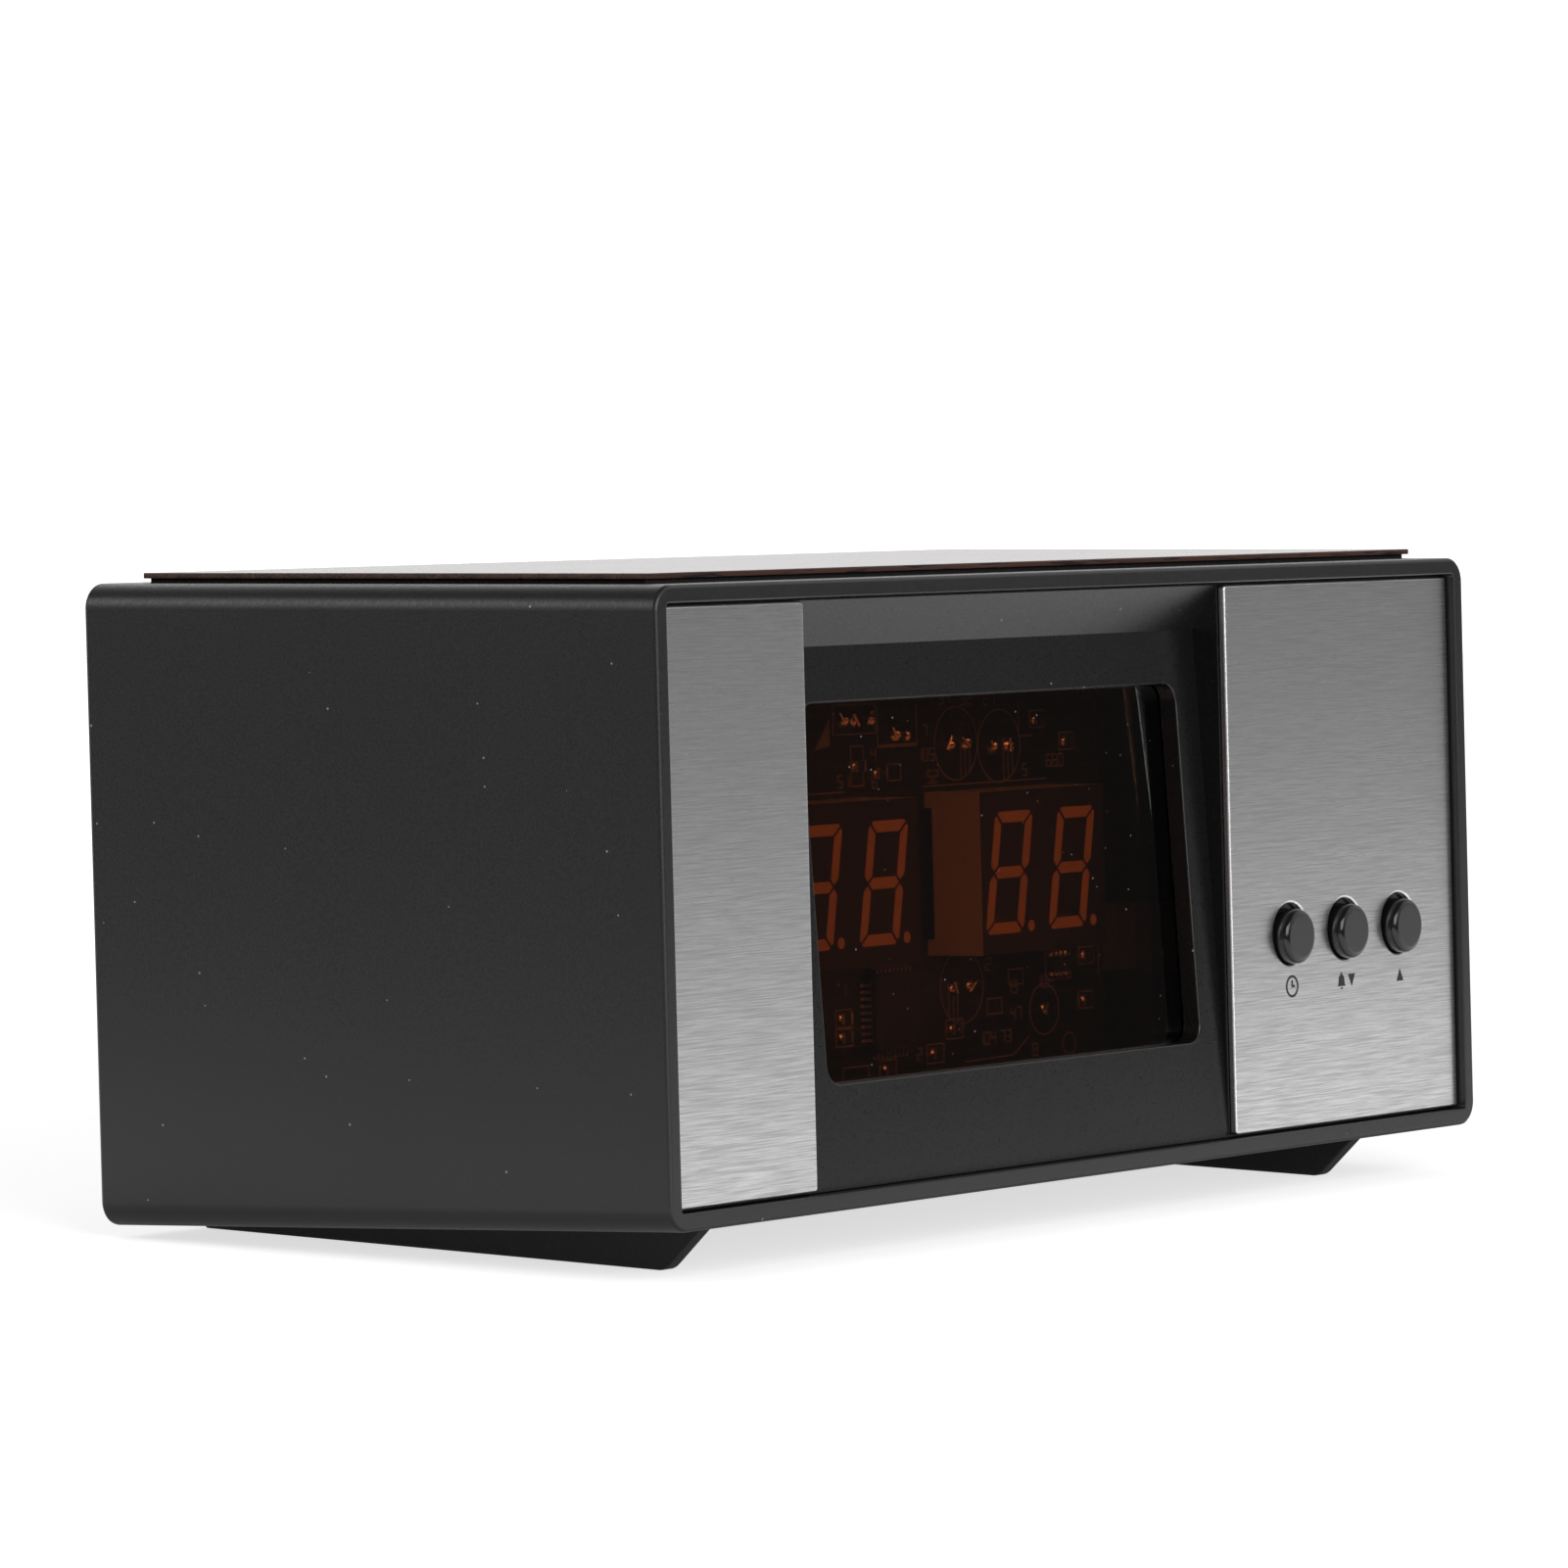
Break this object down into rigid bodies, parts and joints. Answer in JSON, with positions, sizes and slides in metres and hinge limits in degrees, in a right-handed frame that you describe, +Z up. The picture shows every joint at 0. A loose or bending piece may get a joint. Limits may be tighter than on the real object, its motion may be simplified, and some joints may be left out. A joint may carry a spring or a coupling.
{
  "type": "digital alarm clock",
  "caption": "Leaning table clock: drafted charcoal sleeve, brushed trim plates, sloping recess with an amber display window, push buttons, wood top panel and wedge feet.",
  "frame": {"origin": "middle of the clock in plan, on the surface that the feet stand on", "axes": "+X to the right of someone facing the display, +Y to the back, +Z up"},
  "size_m": [0.166, 0.0834, 0.0771],
  "materials": {
    "case_abs": "fine moulded grain, charcoal ABS",
    "bezel_abs": "satin moulded black ABS",
    "amber_acrylic": "polished dark amber acrylic",
    "brushed_aluminium": "brushed across, clear anodised",
    "walnut_veneer": "lacquered dark walnut",
    "backing_foam": "matt black foam tape",
    "foot_abs": "moulded black ABS",
    "screw_steel": "blackened steel",
    "board_laminate": "dark solder resist over glass laminate",
    "module_black": "black printed face",
    "segment_epoxy": "diffuse orange epoxy, unlit",
    "tinned_metal": "tin-plated",
    "chip_epoxy": "moulded black epoxy",
    "capacitor_sleeve": "shrunk dark blue sleeve",
    "header_nylon": "natural nylon",
    "cable_pvc": "black flexible PVC",
    "button_abs": "satin dark grey ABS"
  },
  "bodies": {
    "clock": {"case_shell": "case_abs", "front_bezel": "bezel_abs", "display_lens": "amber_acrylic", "left_trim_plate": "brushed_aluminium", "right_trim_plate": "brushed_aluminium", "wood_top_panel": "walnut_veneer", "panel_backing": "backing_foam", "left_foot": "foot_abs", "right_foot": "foot_abs", "rear_cover": "case_abs", "rear_screws": "screw_steel", "main_board": "board_laminate", "board_screws": "screw_steel", "left_digit_module": "module_black", "right_digit_module": "module_black", "left_digit_segments": "segment_epoxy", "right_digit_segments": "segment_epoxy", "display_pins": "tinned_metal", "controller_chip": "chip_epoxy", "chip_leads": "tinned_metal", "resistor_array": "chip_epoxy", "chip_components": "chip_epoxy", "component_ends": "tinned_metal", "solder_joints": "tinned_metal", "smoothing_capacitors": "capacitor_sleeve", "quartz_crystal": "tinned_metal", "alarm_buzzer": "chip_epoxy", "cell_holder": "chip_epoxy", "backup_cell": "tinned_metal", "power_inlet": "chip_epoxy", "inlet_pin": "tinned_metal", "power_header": "header_nylon", "power_lead": "cable_pvc", "button_board": "board_laminate", "button_board_screws": "screw_steel", "switch_bodies": "chip_epoxy", "ribbon_headers": "header_nylon", "ribbon_cable": "cable_pvc"},
    "set_button": {"set_button_cap": "button_abs", "set_switch_plunger": "chip_epoxy"},
    "down_button": {"down_button_cap": "button_abs", "down_switch_plunger": "chip_epoxy"},
    "up_button": {"up_button_cap": "button_abs", "up_switch_plunger": "chip_epoxy"}
  },
  "joints": [
    {"name": "set_button_press", "type": "slide", "parent": "clock", "child": "set_button", "axis": [0, 0.9992, -0.0401], "range_m": [0, 0.0005], "stiffness_N_per_m": 800, "springref_m": -0.001},
    {"name": "down_button_press", "type": "slide", "parent": "clock", "child": "down_button", "axis": [0, 0.9992, -0.0401], "range_m": [0, 0.0005], "stiffness_N_per_m": 800, "springref_m": -0.001},
    {"name": "up_button_press", "type": "slide", "parent": "clock", "child": "up_button", "axis": [0, 0.9992, -0.0401], "range_m": [0, 0.0005], "stiffness_N_per_m": 800, "springref_m": -0.001}
  ]
}
